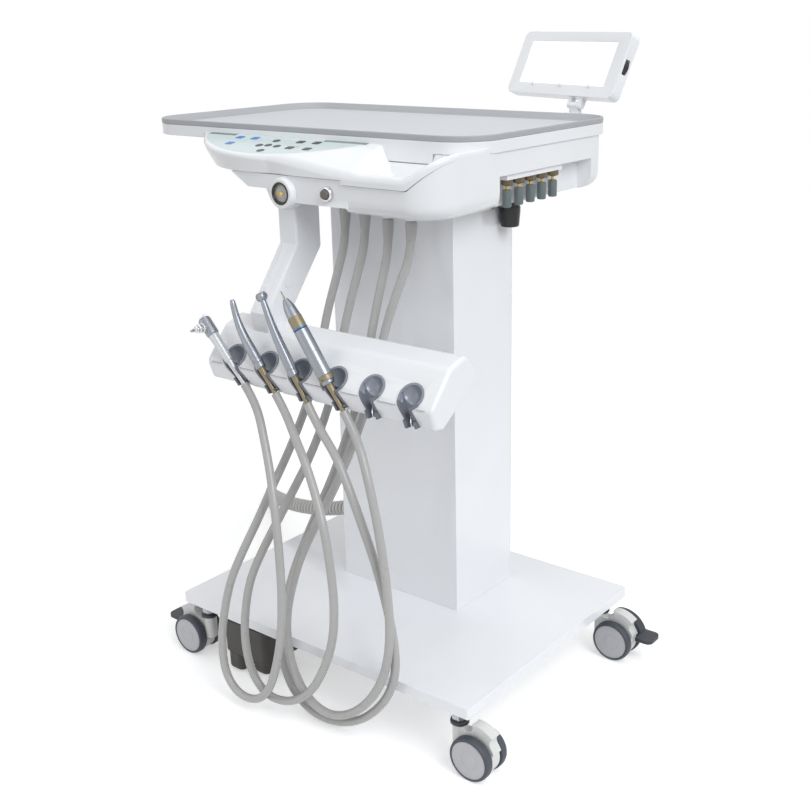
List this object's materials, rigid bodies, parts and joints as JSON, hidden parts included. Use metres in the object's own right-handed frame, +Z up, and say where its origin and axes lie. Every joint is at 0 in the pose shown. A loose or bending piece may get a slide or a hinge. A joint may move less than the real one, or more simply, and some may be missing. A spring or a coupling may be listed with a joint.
{
  "type": "portable dental unit",
  "caption": "Dental delivery cart with a wheeled base, a sheet column, an instrument tray with film viewer and a bar holding handpieces on looped hoses.",
  "frame": {"origin": "on the floor, under the middle of the base plate", "axes": "+Z up, -Y towards the operator's side with the instrument bar, +X towards the flow valves"},
  "size_m": [0.9781, 0.7274, 0.9315],
  "materials": {
    "powder_white": "satin powder coat",
    "moulding_white": "satin moulding",
    "mat_grey": "matt silicone",
    "caster_grey": "satin",
    "tyre_dark": "matt",
    "pedal_dark": "satin",
    "steel": "satin",
    "chrome": "polished",
    "brass": "satin",
    "aluminium": "satin",
    "liner": "matt",
    "overlay": "printed film",
    "knob_green": "satin",
    "black": "satin",
    "hose_grey": "satin silicone",
    "curl_white": "satin",
    "opal": "opal",
    "foot": "matt"
  },
  "bodies": {
    "unit": {"base_plate": "powder_white", "caster_stems": "steel", "column_shell": "powder_white", "column_rear_cover": "powder_white", "column_flanges": "steel", "fasteners": "chrome", "port_fittings": "brass", "air_hose": "curl_white", "air_hose_coupling": "brass", "tray_deck": "moulding_white", "tray_underside": "moulding_white", "lower_shell": "moulding_white", "head_chassis": "steel", "control_block": "aluminium", "console_shell": "moulding_white", "console_overlay": "overlay", "gauge_case": "moulding_white", "air_switch_housing": "chrome", "valve_manifold": "brass", "bottle_socket": "black", "viewer_post": "powder_white", "arm_bracket": "powder_white", "bar_shell": "moulding_white", "bar_cover": "moulding_white", "bar_end_caps": "moulding_white", "holder_inserts": "liner", "foot_control": "foot", "hose_1": "hose_grey", "hose_2": "hose_grey", "hose_3": "hose_grey", "hose_4": "hose_grey"},
    "caster_fl": {"caster_fork_fl": "caster_grey"},
    "wheels_fl": {"caster_wheels_fl": "tyre_dark"},
    "pedal_fl": {"brake_pedal_fl": "pedal_dark"},
    "caster_fr": {"caster_fork_fr": "caster_grey"},
    "wheels_fr": {"caster_wheels_fr": "tyre_dark"},
    "caster_rl": {"caster_fork_rl": "caster_grey"},
    "wheels_rl": {"caster_wheels_rl": "tyre_dark"},
    "caster_rr": {"caster_fork_rr": "caster_grey"},
    "wheels_rr": {"caster_wheels_rr": "tyre_dark"},
    "pedal_rr": {"brake_pedal_rr": "pedal_dark"},
    "mat": {"tray_mat": "mat_grey"},
    "needle": {"gauge_needle": "brass"},
    "air_switch": {"air_switch_button": "black"},
    "valve_1": {"valve_knob_1": "knob_green"},
    "valve_2": {"valve_knob_2": "knob_green"},
    "valve_3": {"valve_knob_3": "knob_green"},
    "valve_4": {"valve_knob_4": "knob_green"},
    "valve_5": {"valve_knob_5": "knob_green"},
    "viewer": {"viewer_frame": "moulding_white", "viewer_diffuser": "opal"},
    "viewer_rocker": {"viewer_switch": "black"},
    "syringe": {"syringe_body": "chrome", "syringe_nozzle": "chrome"},
    "syringe_air": {"syringe_button_air": "chrome"},
    "syringe_water": {"syringe_button_water": "chrome"},
    "turbine_1": {"turbine_1": "steel"},
    "turbine_2": {"turbine_2": "steel"},
    "motor": {"motor": "steel"},
    "nose": {"nose_cone": "steel"}
  },
  "joints": [
    {"name": "caster_fl_swivel", "type": "hinge", "parent": "unit", "child": "caster_fl", "pos_m": [-0.245, -0.187, 0.05], "axis": [0, 0, 1], "range_deg": [-90, 90]},
    {"name": "wheels_fl_roll", "type": "hinge", "parent": "caster_fl", "child": "wheels_fl", "pos_m": [-0.275, -0.187, 0.0315], "axis": [0, 1, 0], "continuous": true},
    {"name": "pedal_fl_press", "type": "hinge", "parent": "caster_fl", "child": "pedal_fl", "pos_m": [-0.275, -0.187, 0.0315], "axis": [0, -1, 0], "range_deg": [0, 14]},
    {"name": "caster_fr_swivel", "type": "hinge", "parent": "unit", "child": "caster_fr", "pos_m": [0.245, -0.187, 0.05], "axis": [0, 0, 1], "continuous": true},
    {"name": "wheels_fr_roll", "type": "hinge", "parent": "caster_fr", "child": "wheels_fr", "pos_m": [0.275, -0.187, 0.0315], "axis": [0, 1, 0], "continuous": true},
    {"name": "caster_rl_swivel", "type": "hinge", "parent": "unit", "child": "caster_rl", "pos_m": [-0.245, 0.187, 0.05], "axis": [0, 0, 1], "continuous": true},
    {"name": "wheels_rl_roll", "type": "hinge", "parent": "caster_rl", "child": "wheels_rl", "pos_m": [-0.275, 0.187, 0.0315], "axis": [0, 1, 0], "continuous": true},
    {"name": "caster_rr_swivel", "type": "hinge", "parent": "unit", "child": "caster_rr", "pos_m": [0.245, 0.187, 0.05], "axis": [0, 0, 1], "continuous": true},
    {"name": "wheels_rr_roll", "type": "hinge", "parent": "caster_rr", "child": "wheels_rr", "pos_m": [0.275, 0.187, 0.0315], "axis": [0, 1, 0], "continuous": true},
    {"name": "pedal_rr_press", "type": "hinge", "parent": "caster_rr", "child": "pedal_rr", "pos_m": [0.275, 0.187, 0.0315], "axis": [0, 1, 0], "range_deg": [0, 14]},
    {"name": "mat_lift", "type": "slide", "parent": "unit", "child": "mat", "axis": [0, 0, 1], "range_m": [0, 0.15]},
    {"name": "needle_turn", "type": "hinge", "parent": "unit", "child": "needle", "pos_m": [-0.1, -0.124, 0.732], "axis": [0, 1, 0], "range_deg": [-130, 130]},
    {"name": "air_switch_press", "type": "slide", "parent": "unit", "child": "air_switch", "axis": [0, 1, 0], "range_m": [0, 0.0025], "stiffness_N_per_m": 400, "springref_m": -0.002},
    {"name": "valve_1_turn", "type": "hinge", "parent": "unit", "child": "valve_1", "pos_m": [0.15, 0.059, 0.734], "axis": [0, 0, 1], "range_deg": [0, 540]},
    {"name": "valve_2_turn", "type": "hinge", "parent": "unit", "child": "valve_2", "pos_m": [0.15, 0.088, 0.734], "axis": [0, 0, 1], "range_deg": [0, 540]},
    {"name": "valve_3_turn", "type": "hinge", "parent": "unit", "child": "valve_3", "pos_m": [0.15, 0.117, 0.734], "axis": [0, 0, 1], "range_deg": [0, 540]},
    {"name": "valve_4_turn", "type": "hinge", "parent": "unit", "child": "valve_4", "pos_m": [0.15, 0.146, 0.734], "axis": [0, 0, 1], "range_deg": [0, 540]},
    {"name": "valve_5_turn", "type": "hinge", "parent": "unit", "child": "valve_5", "pos_m": [0.15, 0.175, 0.734], "axis": [0, 0, 1], "range_deg": [0, 540]},
    {"name": "viewer_tilt", "type": "hinge", "parent": "unit", "child": "viewer", "pos_m": [0.07917, 0.35164, 0.82252], "axis": [0.9532, -0.3024, 0], "range_deg": [-20, 20]},
    {"name": "viewer_rocker_tip", "type": "hinge", "parent": "viewer", "child": "viewer_rocker", "pos_m": [0.15284, 0.35664, 0.88052], "axis": [0.274, 0.8639, -0.4226], "range_deg": [-8, 8]},
    {"name": "syringe_lift", "type": "slide", "parent": "unit", "child": "syringe", "axis": [-0.6691, 0, 0.7431], "range_m": [0, 0.12]},
    {"name": "syringe_air_press", "type": "slide", "parent": "syringe", "child": "syringe_air", "axis": [0.6691, 0, -0.7431], "range_m": [0, 0.002], "stiffness_N_per_m": 250, "springref_m": -0.002},
    {"name": "syringe_water_press", "type": "slide", "parent": "syringe", "child": "syringe_water", "axis": [0.6691, 0, -0.7431], "range_m": [0, 0.002], "stiffness_N_per_m": 250, "springref_m": -0.002},
    {"name": "turbine_1_lift", "type": "slide", "parent": "unit", "child": "turbine_1", "axis": [-0.6018, 0, 0.7986], "range_m": [0, 0.12]},
    {"name": "turbine_2_lift", "type": "slide", "parent": "unit", "child": "turbine_2", "axis": [-0.515, 0, 0.8572], "range_m": [0, 0.12]},
    {"name": "motor_lift", "type": "slide", "parent": "unit", "child": "motor", "axis": [-0.5736, 0, 0.8192], "range_m": [0, 0.12]},
    {"name": "nose_spin", "type": "hinge", "parent": "motor", "child": "nose", "pos_m": [-0.00038, -0.198, 0.5716], "axis": [-0.5736, 0, 0.8192], "continuous": true}
  ]
}
